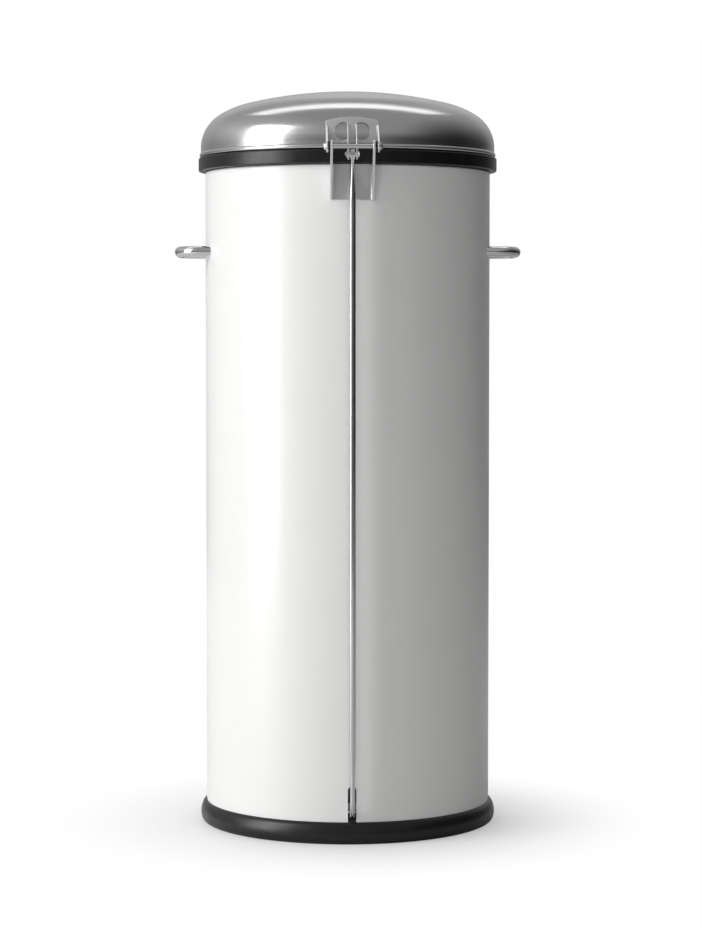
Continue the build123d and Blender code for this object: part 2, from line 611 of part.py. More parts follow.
# ---------------------------------------------------------------- rod
def lift_rod():
    taper_top_z = ROD_TOP_Z - 8.0
    taper_foot_z = taper_top_z - ROD_TAPER
    hook_z = LEVER_TAIL_Z
    blade_top_z = hook_z + ROD_BLADE_RISE
    round_foot_z = blade_top_z + ROD_BLADE_TAPER
    neck_section = Ellipse(ROD_EYE_T / 2, ROD_EYE_R - 0.6)
    blade_section = Ellipse(ROD_BLADE_T / 2, ROD_BLADE_W / 2)
    shank = Pos(0, ROD_Y, (taper_foot_z + round_foot_z) / 2) * Cylinder(ROD_R, taper_foot_z - round_foot_z)
    upper = loft(
        [
            Pos(0, ROD_Y, taper_foot_z) * Circle(ROD_R),
            Pos(0, ROD_Y, taper_top_z) * neck_section,
        ]
    )
    eye = cylinder_x(-ROD_EYE_T / 2, ROD_EYE_T / 2, ROD_Y, ROD_TOP_Z, ROD_EYE_R)
    neck = Pos(0, ROD_Y, taper_top_z) * extrude(neck_section, ROD_TOP_Z - taper_top_z - RIVET_R)
    lower = loft(
        [
            Pos(0, ROD_Y, blade_top_z) * blade_section,
            Pos(0, ROD_Y, round_foot_z) * Circle(ROD_R),
        ]
    )
    path = FilletPolyline(
        (0, ROD_Y, blade_top_z),
        (0, ROD_Y, hook_z),
        (0, LEVER_TAIL_Y + 4, hook_z),
        radius=ROD_HOOK_BEND_R,
    )
    top = Plane(origin=(0, ROD_Y, blade_top_z), x_dir=(1, 0, 0), z_dir=(0, 0, -1))
    blade = sweep(top * blade_section, path=path)
    half_t, half_w = ROD_BLADE_T / 2, ROD_BLADE_W / 2
    slot_r = RIVET_R + HOOK_SLOT_GAP
    y0, y1 = LEVER_TAIL_Y - ROD_SWAY, LEVER_TAIL_Y + ROD_SWAY
    tail = block(-half_t, half_t, y0, LEVER_TAIL_Y + 6.0, hook_z - half_w, hook_z + half_w)
    tail += cylinder_x(-half_t, half_t, y0, hook_z, half_w)
    slot = block(-CUT, CUT, y0, y1, hook_z - slot_r, hook_z + slot_r)
    for y in (y0, y1):
        slot += cylinder_x(-CUT, CUT, y, hook_z, slot_r)
    rod = shank + upper + neck + eye + lower + blade + tail
    rod -= slot
    rod -= cylinder_x(-CUT, CUT, ROD_Y, ROD_TOP_Z, RIVET_R + RUN_GAP)
    return rod


# ---------------------------------------------------------------- pedal
def fulcrum_rivet_places():
    xs = (-FULCRUM_RIVET_X, FULCRUM_RIVET_X)
    ys = (FULCRUM_Y - FULCRUM_RIVET_Y, FULCRUM_Y + FULCRUM_RIVET_Y)
    return [(x, y) for x in xs for y in ys]


def fulcrum_bracket():
    t = FULCRUM_PLATE_T
    cheek_in = LEVER_WIDTH / 2 + CHEEK_GAP
    top = BASE_PLATE_Z - FIT_GAP
    front, back = FULCRUM_Y - FULCRUM_PLATE_Y, FULCRUM_Y + FULCRUM_PLATE_Y
    bracket = block(-FULCRUM_PLATE_X, FULCRUM_PLATE_X, front, back, top - t, top)
    cheek = [
        (front, top - t / 2),
        (FULCRUM_Y - FULCRUM_BOSS_R, LEVER_Z),
        (FULCRUM_Y + FULCRUM_BOSS_R, LEVER_Z),
        (back, top - t / 2),
    ]
    for side in (1, -1):
        x0, x1 = sorted((side * cheek_in, side * (cheek_in + t)))
        bore = FULCRUM_PIN_R + PIN_SEAT_GAP
        bracket += boss_plate(cheek, (FULCRUM_Y, LEVER_Z), FULCRUM_BOSS_R, bore, x0, x1)
    for x, y in fulcrum_rivet_places():
        bracket -= cylinder_z(x, y, top - CUT, top + CUT, RIVET_R + PIN_SEAT_GAP)
    return bracket


def flat_rivet(x, y, foot, top, radius, foot_head, top_head):
    """Upright rivet with a flat head of its own height at each end."""
    head_r = radius + FLAT_HEAD_RIM
    rivet = cylinder_z(x, y, foot - 2 * HEAD_GAP, top + 2 * HEAD_GAP, radius)
    rivet += cylinder_z(x, y, foot - foot_head, foot - HEAD_GAP, head_r)
    rivet += cylinder_z(x, y, top + HEAD_GAP, top + top_head, head_r)
    return rivet


def fulcrum_rivets():
    rivets = []
    for x, y in fulcrum_rivet_places():
        top = BASE_PLATE_Z + BASE_PLATE_T
        foot = BASE_PLATE_Z - FIT_GAP - FULCRUM_PLATE_T
        rivets.append(flat_rivet(x, y, foot, top, RIVET_R, 1.8, 1.4))
    return Compound(children=rivets)


def fulcrum_pin():
    reach = LEVER_WIDTH / 2 + CHEEK_GAP + FULCRUM_PLATE_T + HEAD_GAP
    head = 1.8
    pin = cylinder_x(-reach - head / 2, reach + head / 2, FULCRUM_Y, LEVER_Z, FULCRUM_PIN_R)
    for side in (1, -1):
        head_r = FULCRUM_PIN_R + FLAT_HEAD_RIM
        pin += cylinder_x(side * reach, side * (reach + head), FULCRUM_Y, LEVER_Z, head_r)
    return pin


def pedal_lever():
    half, t = LEVER_WIDTH / 2, LEVER_T
    z0, z1 = LEVER_Z - LEVER_HEIGHT / 2, LEVER_TOP_Z
    tail_y = LEVER_TAIL_Y + 3.5
    hook_room = 8.0
    lever = block(-half, half, LEVER_FRONT_Y, tail_y, z0, z1)
    lever -= block(-half + t, half - t, LEVER_FRONT_Y - CUT, tail_y + CUT, z0 - CUT, z1 - t)
    lever -= block(-half + t, half - t, LEVER_TAIL_Y - hook_room, tail_y + CUT, z0, z1 + CUT)
    lever -= cylinder_x(-half - CUT, half + CUT, FULCRUM_Y, LEVER_Z, FULCRUM_PIN_R + RUN_GAP)
    lever -= cylinder_x(-half - CUT, half + CUT, LEVER_TAIL_Y, LEVER_TAIL_Z, RIVET_R + PIN_SEAT_GAP)
    for x, y in pedal_rivet_places():
        lever -= cylinder_z(x, y, z1 - CUT, z1 + CUT, PEDAL_RIVET_R + PIN_SEAT_GAP)
    return lever


def tail_pin():
    face, end = LEVER_WIDTH / 2 + HEAD_GAP, LEVER_WIDTH / 2 + 1.5
    pin = cylinder_x(-end + 1, end - 1, LEVER_TAIL_Y, LEVER_TAIL_Z, RIVET_R)
    for side in (1, -1):
        pin += cylinder_x(side * face, side * end, LEVER_TAIL_Y, LEVER_TAIL_Z, RIVET_HEAD_R)
    return pin


def pedal_rivet_places():
    half = PEDAL_RIVET_SPACING / 2
    return [(0.0, PEDAL_MID_Y - half), (0.0, PEDAL_MID_Y + half)]


def pedal_plate():
    base, t = PEDAL_BASE_Z, PEDAL_T
    outer = RectangleRounded(PEDAL_WIDTH, PEDAL_DEPTH, PEDAL_CORNER_R)
    inner = RectangleRounded(PEDAL_WIDTH - 2 * t, PEDAL_DEPTH - 2 * t, PEDAL_CORNER_R - t)
    plate = Pos(0, PEDAL_MID_Y, base) * extrude(outer, t)
    rim = extrude(outer, PEDAL_SKIRT + t) - extrude(inner, PEDAL_SKIRT + t)
    plate += Pos(0, PEDAL_MID_Y, base - PEDAL_SKIRT) * rim
    notch = LEVER_WIDTH / 2 + 0.6
    plate -= block(-notch, notch, LEVER_FRONT_Y - 0.6, PEDAL_BACK_Y + CUT, base - PEDAL_SKIRT - CUT, base)
    for x, y in pedal_rivet_places():
        plate -= cylinder_z(x, y, base - CUT, base + CUT, PEDAL_RIVET_R + PIN_SEAT_GAP)
    return plate


def pedal_rivets():
    under = LEVER_TOP_Z - LEVER_T
    over = PEDAL_BASE_Z + PEDAL_T
    rivets = [flat_rivet(x, y, under, over, PEDAL_RIVET_R, 1.4, 0.9) for x, y in pedal_rivet_places()]
    return Compound(children=rivets)


def pedal_pad():
    base = PEDAL_BASE_Z + PEDAL_T + FIT_GAP
    width, depth = PEDAL_WIDTH - 2 * PAD_INSET, PEDAL_DEPTH - 2 * PAD_INSET
    rib_rise = 1.0
    sheet = extrude(RectangleRounded(width, depth, PEDAL_CORNER_R - PAD_INSET), PAD_T - rib_rise)
    pad = Pos(0, PEDAL_MID_Y, base) * sheet
    spacing = depth / (PAD_RIBS + 0.6)
    for k in range(PAD_RIBS):
        y = PEDAL_MID_Y + (k - (PAD_RIBS - 1) / 2) * spacing
        rib = extrude(SlotOverall(width - 10, PAD_RIB_WIDTH), rib_rise + 0.5)
        pad += Pos(0, y, base + PAD_T - rib_rise - 0.5) * rib
    for x, y in pedal_rivet_places():
        pad -= cylinder_z(x, y, base - 1, base + 1.4, PEDAL_RIVET_R + FLAT_HEAD_RIM + FIT_GAP)
    return pad


def pedal_stop():
    """Rubber block in the base ring's notch that the lever lands on."""
    half = LEVER_WIDTH / 2 - 2.0
    foot_z = RING_NOTCH_Z + HEAD_GAP
    return block(-half, half, -RING_R + 3.0, -BODY_INNER_R + 2.0, foot_z, foot_z + PEDAL_STOP_T)


# ---------------------------------------------------------------- bucket
def bucket():
    top_z = BUCKET_TOP_Z - BUCKET_BEAD_R
    foot_r, top_r, t = BUCKET_FOOT_R, BUCKET_TOP_R, BUCKET_WALL
    floor_z = BUCKET_Z + BUCKET_FLOOR_RISE
    outline = Polyline(
        (foot_r - t, 0, BUCKET_Z),
        (foot_r, 0, BUCKET_Z),
        (top_r, 0, top_z),
        (top_r - t, 0, top_z),
        (foot_r - t, 0, floor_z + t),
        (0, 0, floor_z + t),
        (0, 0, floor_z),
        (foot_r - t, 0, floor_z),
        close=True,
    )
    shell = turned(outline)
    shell += Pos(0, 0, top_z) * Torus(top_r - t + BUCKET_BEAD_R, BUCKET_BEAD_R)
    for side, y in ear_rivet_places():
        x0, x1 = side * (top_r - 2 * CUT), side * (top_r + CUT)
        shell -= cylinder_x(x0, x1, y, EAR_RIVET_Z, EAR_RIVET_R + HEAD_GAP)
    return shell


def ear_rivet_places():
    """(side, y) of the rivets that hold the two ears."""
    return [(side, y) for side in (1, -1) for y in (-EAR_RIVET_Y, EAR_RIVET_Y)]


def bucket_ears():
    half, foot_z, shoulder_z = EAR_PLATE_HALF, BUCKET_TOP_Z - EAR_PLATE_DROP, BUCKET_TOP_Z - 6.0
    plate = [
        (-half, foot_z),
        (half, foot_z),
        (half, shoulder_z),
        (EAR_BOSS_R, BAIL_Z),
        (-EAR_BOSS_R, BAIL_Z),
        (-half, shoulder_z),
    ]
    ears = []
    for side in (1, -1):
        x0, x1 = sorted((side * (EAR_PLATE_X - EAR_PLATE_T), side * EAR_PLATE_X))
        ear = boss_plate(plate, (0, BAIL_Z), EAR_BOSS_R, BAIL_WIRE_R + RUN_GAP, x0, x1)
        for y in (-EAR_RIVET_Y, EAR_RIVET_Y):
            ear -= cylinder_x(x0 - CUT, x1 + CUT, y, EAR_RIVET_Z, EAR_RIVET_R + HEAD_GAP)
        ears.append(ear)
    return Compound(children=ears)


def ear_rivets():
    inside = EAR_PLATE_X - EAR_PLATE_T - HEAD_GAP
    outside = BUCKET_TOP_R + HEAD_GAP
    head_t, head_r = 1.4, 3.0
    rivets = []
    for side, y in ear_rivet_places():
        rivet = cylinder_x(side * (inside - 1), side * (outside + 1), y, EAR_RIVET_Z, EAR_RIVET_R)
        rivet += cylinder_x(side * (inside - head_t), side * inside, y, EAR_RIVET_Z, head_r)
        rivet += cylinder_x(side * outside, side * (outside + head_t), y, EAR_RIVET_Z, head_r)
        rivets.append(rivet)
    return Compound(children=rivets)


def bail():
    end_x = EAR_PLATE_X - EAR_PLATE_T - 3.0
    r, b = BAIL_R, BAIL_BEND_R
    bend = b * math.sin(math.pi / 4)
    wire = Wire(
        [
            Line((end_x, 0, BAIL_Z), (r - b, 0, BAIL_Z)),
            ThreePointArc((r - b, 0, BAIL_Z), (r - b + bend, bend - b, BAIL_Z), (r, -b, BAIL_Z)),
            ThreePointArc((r, -b, BAIL_Z), (0, -b - r, BAIL_Z), (-r, -b, BAIL_Z)),
            ThreePointArc((-r, -b, BAIL_Z), (b - r - bend, bend - b, BAIL_Z), (b - r, 0, BAIL_Z)),
            Line((b - r, 0, BAIL_Z), (-end_x, 0, BAIL_Z)),
        ]
    )
    section = Plane(origin=(end_x, 0, BAIL_Z), z_dir=(1, 0, 0)) * Circle(BAIL_WIRE_R)
    return sweep(section, path=wire)


def bail_grip():
    half = math.radians(GRIP_ANGLE / 2)
    b, r = BAIL_BEND_R, BAIL_R
    start = (r * math.sin(half), -b - r * math.cos(half), BAIL_Z)
    end = (-r * math.sin(half), -b - r * math.cos(half), BAIL_Z)
    arc = ThreePointArc(start, (0, -b - r, BAIL_Z), end)
    direction = (-math.cos(half), -math.sin(half), 0)
    section = Plane(origin=start, z_dir=direction) * (Circle(GRIP_R) - Circle(BAIL_WIRE_R + FIT_GAP))
    return sweep(section, path=arc)


# ---------------------------------------------------------------- build everything
save(body_shell(), "body_shell", WHITE)
save(base_ring(), "base_ring", BLACK)
save(base_plate(), "base_plate", ZINC)
save(floor_hoop(), "floor_hoop", ZINC)
save(body_bracket(), "hinge_body_bracket", STEEL)
save(backing_plate(), "hinge_backing_plate", ZINC)
save(bracket_nuts(), "hinge_bracket_nuts", ZINC)
save(hinge_pin(), "hinge_pin", STEEL)
save(side_handle(1), "handle_left", STEEL)
save(side_handle(-1), "handle_right", STEEL)
save(handle_nuts(), "handle_nuts", ZINC)
save(lid_dome(), "lid_dome", STEEL)
save(lid_seal(), "lid_seal", BLACK)
save(lid_bracket(), "hinge_lid_bracket", STEEL)
save(lid_stiffener(), "lid_stiffener", ZINC)
save(hinge_washers(), "hinge_washers", BLACK)
save(rod_rivet(), "rod_rivet", STEEL)
save(lift_rod(), "lift_rod", STEEL)
save(fulcrum_bracket(), "fulcrum_bracket", ZINC)
save(fulcrum_rivets(), "fulcrum_rivets", ZINC)
save(fulcrum_pin(), "fulcrum_pin", STEEL)
save(pedal_lever(), "pedal_lever", DARK_STEEL)
save(tail_pin(), "lever_tail_pin", STEEL)
save(pedal_plate(), "pedal_plate", STEEL)
save(pedal_rivets(), "pedal_rivets", STEEL)
save(pedal_pad(), "pedal_pad", BLACK)
save(pedal_stop(), "pedal_stop", BLACK)
save(bucket(), "inner_bucket", ZINC)
save(bucket_ears(), "bucket_ears", ZINC)
save(ear_rivets(), "bucket_ear_rivets", ZINC)
save(bail(), "bucket_bail", STEEL)
save(bail_grip(), "bail_grip", BLACK)
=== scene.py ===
# %% [markdown]
# # A step-on kitchen bin, seen from behind
# The frame below is the bin's engineering model: every part at its real place and size, in metres.
# It stays as it is. This script gives each part its finish, makes the pieces whose looks need more
# than the engineering model has, and sets the light and the camera.

# %% Load the frame
import bpy
import bmesh
import math
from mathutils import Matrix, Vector


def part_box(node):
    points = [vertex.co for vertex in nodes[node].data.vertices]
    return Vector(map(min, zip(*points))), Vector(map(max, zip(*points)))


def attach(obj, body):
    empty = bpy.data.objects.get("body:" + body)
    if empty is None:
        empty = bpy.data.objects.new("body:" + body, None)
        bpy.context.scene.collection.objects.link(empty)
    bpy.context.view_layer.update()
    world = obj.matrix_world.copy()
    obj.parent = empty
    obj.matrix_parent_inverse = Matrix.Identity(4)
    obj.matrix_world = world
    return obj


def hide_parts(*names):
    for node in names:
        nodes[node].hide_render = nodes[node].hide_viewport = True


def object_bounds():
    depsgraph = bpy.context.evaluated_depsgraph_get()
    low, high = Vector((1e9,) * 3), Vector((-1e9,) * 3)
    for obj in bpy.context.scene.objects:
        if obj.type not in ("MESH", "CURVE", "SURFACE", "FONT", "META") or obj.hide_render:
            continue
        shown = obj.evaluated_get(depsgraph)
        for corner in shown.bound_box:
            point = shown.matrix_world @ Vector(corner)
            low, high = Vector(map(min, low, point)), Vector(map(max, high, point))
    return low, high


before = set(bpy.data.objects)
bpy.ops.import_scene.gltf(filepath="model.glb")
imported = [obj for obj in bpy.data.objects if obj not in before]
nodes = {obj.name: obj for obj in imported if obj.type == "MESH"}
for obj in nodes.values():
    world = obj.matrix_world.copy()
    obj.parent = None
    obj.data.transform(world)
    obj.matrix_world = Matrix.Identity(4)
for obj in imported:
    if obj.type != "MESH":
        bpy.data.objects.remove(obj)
cad_low, cad_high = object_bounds()
MM = 0.001
print("frame:", len(nodes), "parts, height", round((cad_high.z - cad_low.z) / MM, 1), "mm")

# %% [markdown]
# ## Small tools
# A material in Blender is a graph of nodes. One helper adds a node, sets its options and wires its
# inputs, so that every material below reads as a list of what it is made of. Colours are chosen as
# hex values, the way a paint chart or a design program gives them, and a render works in linear
# light, so a second helper turns one into the other.

# %% Node and colour helpers


def linear(hex_code):
    """An sRGB hex colour as linear red, green, blue and alpha."""
    parts = [int(hex_code[k:k + 2], 16) / 255 for k in (1, 3, 5)]
    return tuple(p / 12.92 if p <= 0.04045 else ((p + 0.055) / 1.055) ** 2.4 for p in parts) + (1.0,)


def add_node(tree, kind, inputs=None, **settings):
    """Add one node. settings are its own options; inputs are values, or sockets to link from."""
    made = tree.nodes.new(kind)
    for name, value in settings.items():
        setattr(made, name, value)
    for name, value in (inputs or {}).items():
        if isinstance(value, bpy.types.NodeSocket):
            tree.links.new(value, made.inputs[name])
        else:
            made.inputs[name].default_value = value
    return made


def new_material(name, colour, roughness, metallic=0.0, **shader):
    """A material with the shader's even values set; returns it, its tree and its shader node."""
    material = bpy.data.materials.new(name)
    material.use_nodes = True
    shading = material.node_tree.nodes["Principled BSDF"]
    shading.inputs["Base Color"].default_value = linear(colour)
    shading.inputs["Roughness"].default_value = roughness
    shading.inputs["Metallic"].default_value = metallic
    for socket, value in shader.items():
        shading.inputs[socket.replace("_", " ")].default_value = value
    return material, material.node_tree, shading


def per_mm(size_mm):
    """A noise texture's scale, in cells per metre, for features of this size in millimetres."""
    return 1.0 / (size_mm * MM)


print("white of #F4F3F0 in linear light:", [round(c, 3) for c in linear("#F4F3F0")[:3]])

# %% [markdown]
# ## Marks, tones and edges
# Nearly every finish is a pattern that changes how rough, how light or how bumpy the surface is. The
# pattern could be a painted picture, but then it has one scale and needs unwrapping. Noise worked out
# at each point needs neither, and its size can be given in millimetres of the real thing. A sharp
# edge catches no light, so edges are rounded here too, in the shading only.

# %% Marks, tones and edges
# Most of a noise texture's values lie between these two.
NOISE_LOW = 0.3
NOISE_HIGH = 0.7
# How far the rounded normal agrees with the flat one where the painted edge highlight starts, and where it
# is full.
STILL_FLAT = 0.995
EDGE_HIGHLIGHT_FULL = 0.9


def object_place(tree):
    """The point in the object's own space, in metres."""
    return add_node(tree, "ShaderNodeTexCoord").outputs["Object"]


def stretched_noise(tree, place, stretch, detail=4.0, distortion=0.0):
    """Noise whose features are stretch millimetres long along x, y and z."""
    scaled = add_node(tree, "ShaderNodeMapping", {"Vector": place, "Scale": [per_mm(s) for s in stretch]})
    inputs = {"Vector": scaled.outputs["Vector"], "Scale": 1.0, "Detail": detail, "Distortion": distortion}
    return add_node(tree, "ShaderNodeTexNoise", inputs).outputs["Fac"]


def remap(tree, value, low, high):
    """A noise value spread between low and high."""
    inputs = {"Value": value, "From Min": NOISE_LOW, "From Max": NOISE_HIGH, "To Min": low, "To Max": high}
    return add_node(tree, "ShaderNodeMapRange", inputs).outputs["Result"]


def averaged(tree, first, second):
    """The mean of two patterns, so that neither is lost."""
    total = add_node(tree, "ShaderNodeMath", {0: first, 1: second}, operation="ADD")
    half = add_node(tree, "ShaderNodeMath", {0: total.outputs[0], 1: 0.5}, operation="MULTIPLY")
    return half.outputs[0]


def bumped(tree, height, depth_mm, strength=1.0, under=None):
    """A normal for marks this deep; under is another bump that they lie on."""
    inputs = {"Height": height, "Distance": depth_mm * MM, "Strength": strength}
    if under is not None:
        inputs["Normal"] = under
    return add_node(tree, "ShaderNodeBump", inputs).outputs["Normal"]


def rounded_edges(tree, radius_mm):
    """A normal that turns smoothly over sharp edges, as a deburred or moulded edge does."""
    return add_node(tree, "ShaderNodeBevel", {"Radius": radius_mm * MM}, samples=4).outputs["Normal"]


def painted_edge_highlight(tree, radius_mm):
    """From 0 on a flat face to 1 on a sharp edge, where a paler colour is painted on as a highlight."""
    flat = add_node(tree, "ShaderNodeNewGeometry").outputs["Normal"]
    inputs = {0: rounded_edges(tree, radius_mm), 1: flat}
    agreement = add_node(tree, "ShaderNodeVectorMath", inputs, operation="DOT_PRODUCT").outputs["Value"]
    inputs = {"Value": agreement, "From Min": STILL_FLAT, "From Max": EDGE_HIGHLIGHT_FULL}
    return add_node(tree, "ShaderNodeMapRange", inputs).outputs["Result"]


def two_tones(tree, factor, first, second):
    """Mix of two hex colours by a factor."""
    mixed = add_node(tree, "ShaderNodeMix", data_type="RGBA")
    tree.links.new(factor, mixed.inputs[0])
    mixed.inputs[6].default_value = linear(first)
    mixed.inputs[7].default_value = linear(second)
    return mixed.outputs[2]


print("a 14 mm mark has a scale of", round(per_mm(14.0), 1), "per metre")

# %% [markdown]
# ## Spun steel
# The bare steels differ mostly in how they were worked. The dome is stainless sheet that was spun and
# then polished as it turned, so its marks run in rings round the axis. Rings that fine blur a
# highlight across themselves. The shader's anisotropy does that, if its tangent turns with the rings.

# %% Spun steel
STEEL = "#C6C6C7"
# One radian round the axis counts as this length, so that a ring's marks have a size too.
PER_RADIAN = 20 * MM


def turning_place(tree):
    """Place as (radius, angle, height): marks that are long in its y run round the axis."""
    split = add_node(tree, "ShaderNodeSeparateXYZ", {"Vector": object_place(tree)})
    x, y, z = (split.outputs[k] for k in "XYZ")
    flat = add_node(tree, "ShaderNodeCombineXYZ", {"X": x, "Y": y})
    radius = add_node(tree, "ShaderNodeVectorMath", {0: flat.outputs["Vector"]}, operation="LENGTH")
    angle = add_node(tree, "ShaderNodeMath", {0: y, 1: x}, operation="ARCTAN2")
    along = add_node(tree, "ShaderNodeMath", {0: angle.outputs[0], 1: PER_RADIAN}, operation="MULTIPLY")
    parts = {"X": radius.outputs["Value"], "Y": along.outputs[0], "Z": z}
    return add_node(tree, "ShaderNodeCombineXYZ", parts).outputs["Vector"]


def spun_steel():
    """Stainless dome, polished in rings, with faint cloudy patches and wipe marks."""
    material, tree, shading = new_material("spun stainless steel", STEEL, 0.2, 1.0, Anisotropic=0.55)
    place = turning_place(tree)
    # The fine rings dull the highlight, and are drawn wider than real ones, which are too fine to show.
    # The broad ones make it waver. The cloud is where it was wiped.
    rings = stretched_noise(tree, place, (0.35, 60.0, 0.35), detail=3.0)
    broad = stretched_noise(tree, place, (4.0, 200.0, 4.0), detail=2.0)
    cloud = stretched_noise(tree, object_place(tree), (70.0, 70.0, 70.0), detail=3.0)
    patchy = averaged(tree, rings, cloud)
    tree.links.new(remap(tree, patchy, 0.15, 0.27), shading.inputs["Roughness"])
    normal = bumped(tree, rings, 0.002, 0.35, under=bumped(tree, broad, 0.01, 0.2))
    tree.links.new(normal, shading.inputs["Normal"])
    turn = add_node(tree, "ShaderNodeTangent", direction_type="RADIAL", axis="Z")
    tree.links.new(turn.outputs["Tangent"], shading.inputs["Tangent"])
    return material


spun = spun_steel()
print("made:", spun.name)

# %% [markdown]
# ## Brushed, drawn and plated steel
# Sheet was brushed along one direction and bar was drawn through a die, so the marks of both are long
# one way and fine across, and spread a highlight across themselves. Zinc plating has no direction: it
# is a thin, duller skin. Every sharp edge is painted a little paler, as a painted highlight. Real
# brush marks are a tenth of a millimetre wide or less, too fine to show, so these are drawn wider.

# %% Brushed, drawn and plated steel
# Near-white colour painted on the sharp edges of worked steel: a painted highlight.
EDGE_HIGHLIGHT_COLOUR = "#FBFBFB"


def worked_steel(name, stretch, rough_low, rough_high, depth_mm, colour, edge_mm=0.35, metallic=1.0):
    """Steel with fine marks, longest along the largest stretch: brushed, drawn, plated or polished."""
    material, tree, shading = new_material(name, colour, rough_low, metallic)
    place = object_place(tree)
    marks = stretched_noise(tree, place, stretch, detail=4.0)
    wear = stretched_noise(tree, place, (18.0, 18.0, 18.0), detail=5.0, distortion=0.6)
    patchy = averaged(tree, marks, wear)
    tree.links.new(remap(tree, patchy, rough_low, rough_high), shading.inputs["Roughness"])
    # Sharp edges get a paler colour painted on: a painted highlight along each edge.
    highlighted_edges = two_tones(tree, painted_edge_highlight(tree, edge_mm), colour, EDGE_HIGHLIGHT_COLOUR)
    tree.links.new(highlighted_edges, shading.inputs["Base Color"])
    normal = bumped(tree, marks, depth_mm, 0.5, under=rounded_edges(tree, edge_mm))
    tree.links.new(normal, shading.inputs["Normal"])
    return material


# Coarse brushing scatters part of the light evenly, so this sheet isn't fully metallic.
brushed = worked_steel("brushed stainless sheet", (0.4, 0.4, 14.0), 0.3, 0.48, 0.012, "#DEDEDF", 0.75, 0.88)
drawn_up = worked_steel("drawn steel rod", (0.25, 0.25, 40.0), 0.07, 0.2, 0.004, "#D2D2D3")
polished = worked_steel("polished steel bar", (0.8, 6.0, 0.8), 0.06, 0.17, 0.004, "#D2D2D3")
zinc = worked_steel("zinc-plated steel", (1.2, 1.2, 1.2), 0.22, 0.4, 0.006, "#B4B8BB")
print("made:", ", ".join(m.name for m in (brushed, drawn_up, polished, zinc)))

# %% [markdown]
# ## Galvanised sheet
# Sheet that was dipped in molten zinc cools into large flat crystals, the spangle. Each crystal faces
# its own way, so each has its own tone and gloss. A Voronoi texture gives such cells, and a little
# noise added to the place bends their straight borders. The zinc has dulled in air, and a dull skin
# scatters part of the light evenly, so the shader isn't fully metallic.

# %% Galvanised sheet


def galvanised_steel():
    """Zinc-coated sheet: large pale crystals, each with its own tone and gloss."""
    material, tree, shading = new_material("galvanised steel", "#A9ACAE", 0.38, 0.7)
    place = object_place(tree)
    shift = stretched_noise(tree, place, (9.0, 9.0, 9.0), detail=3.0)
    wobble = add_node(tree, "ShaderNodeMath", {0: shift, 1: 5 * MM}, operation="MULTIPLY")
    moved = add_node(tree, "ShaderNodeVectorMath", {0: place, 1: wobble.outputs[0]})
    inputs = {"Vector": moved.outputs["Vector"], "Scale": per_mm(11.0), "Randomness": 1.0}
    cells = add_node(tree, "ShaderNodeTexVoronoi", inputs)
    tone = add_node(tree, "ShaderNodeSeparateColor", {"Color": cells.outputs["Color"]})
    stripes = stretched_noise(tree, place, (0.8, 0.8, 7.0), detail=3.0)
    ramp = {"Value": tone.outputs["Red"], "To Min": 0.28, "To Max": 0.5}
    gloss = add_node(tree, "ShaderNodeMapRange", ramp).outputs["Result"]
    tree.links.new(gloss, shading.inputs["Roughness"])
    zinc_tones = two_tones(tree, tone.outputs["Green"], "#A6AAAC", "#C9CCCE")
    tree.links.new(zinc_tones, shading.inputs["Base Color"])
    tree.links.new(bumped(tree, stripes, 0.01, 0.25), shading.inputs["Normal"])
    return material


galvanised = galvanised_steel()
print("made:", galvanised.name)

# %% [markdown]
# ## White enamel
# The body's white coat is powder paint: sprayed on dry and baked. It flows out glossy, but keeps a
# slight orange peel that makes a long highlight waver. The shader's thin clear coat over a duller
# base gives it that gloss, and wiping has left the base uneven in very soft patches.

# %% White enamel


def white_enamel():
    """White powder coat on sheet steel, with orange peel and the faint marks of years of wiping."""
    gloss = {"Coat_Weight": 0.25, "Coat_Roughness": 0.12}
    material, tree, shading = new_material("white powder coat", "#F1F1F0", 0.3, **gloss)
    place = object_place(tree)
    peel = stretched_noise(tree, place, (2.6, 2.6, 2.6), detail=2.0)
    grain = stretched_noise(tree, place, (0.4, 0.4, 0.4), detail=2.0)
    wiped = stretched_noise(tree, place, (90.0, 90.0, 45.0), detail=4.0, distortion=0.8)
    tree.links.new(remap(tree, wiped, 0.3, 0.35), shading.inputs["Roughness"])
    tree.links.new(two_tones(tree, wiped, "#F2F2F1", "#EFEFEE"), shading.inputs["Base Color"])
    normal = bumped(tree, grain, 0.003, 0.3, under=bumped(tree, peel, 0.012, 0.5))
    tree.links.new(normal, shading.inputs["Normal"])
    return material


enamel = white_enamel()
print("made:", enamel.name)

# %% [markdown]
# ## Rubber and nylon
# The base ring, the lid's seal, the pedal's pad and its stop are moulded rubber. The hinge washers and
# the bail's grip are moulded nylon. Both are almost black, take the grain of their mould, and hold
# dust, which dulls the gloss in patches.

# %% Rubber and nylon
DUST = "#121213"


def moulded_black(name, colour, rough_low, rough_high, grain_mm, depth_mm):
    """Black rubber or nylon: fine moulded grain, and dust that dulls it in patches."""
    material, tree, shading = new_material(name, colour, rough_low)
    place = object_place(tree)
    grain = stretched_noise(tree, place, (grain_mm,) * 3, detail=3.0)
    dust = stretched_noise(tree, place, (14.0, 14.0, 14.0), detail=6.0, distortion=0.4)
    tree.links.new(remap(tree, dust, rough_low, rough_high), shading.inputs["Roughness"])
    dusty = two_tones(tree, remap(tree, dust, 0.0, 0.6), colour, DUST)
    tree.links.new(dusty, shading.inputs["Base Color"])
    normal = bumped(tree, grain, depth_mm, 0.5, under=rounded_edges(tree, 0.5))
    tree.links.new(normal, shading.inputs["Normal"])
    return material


rubber = moulded_black("black rubber", "#070708", 0.3, 0.38, 0.5, 0.02)
nylon = moulded_black("black nylon", "#0E0E0F", 0.34, 0.5, 0.7, 0.015)
print("made:", ", ".join(m.name for m in (rubber, nylon)))

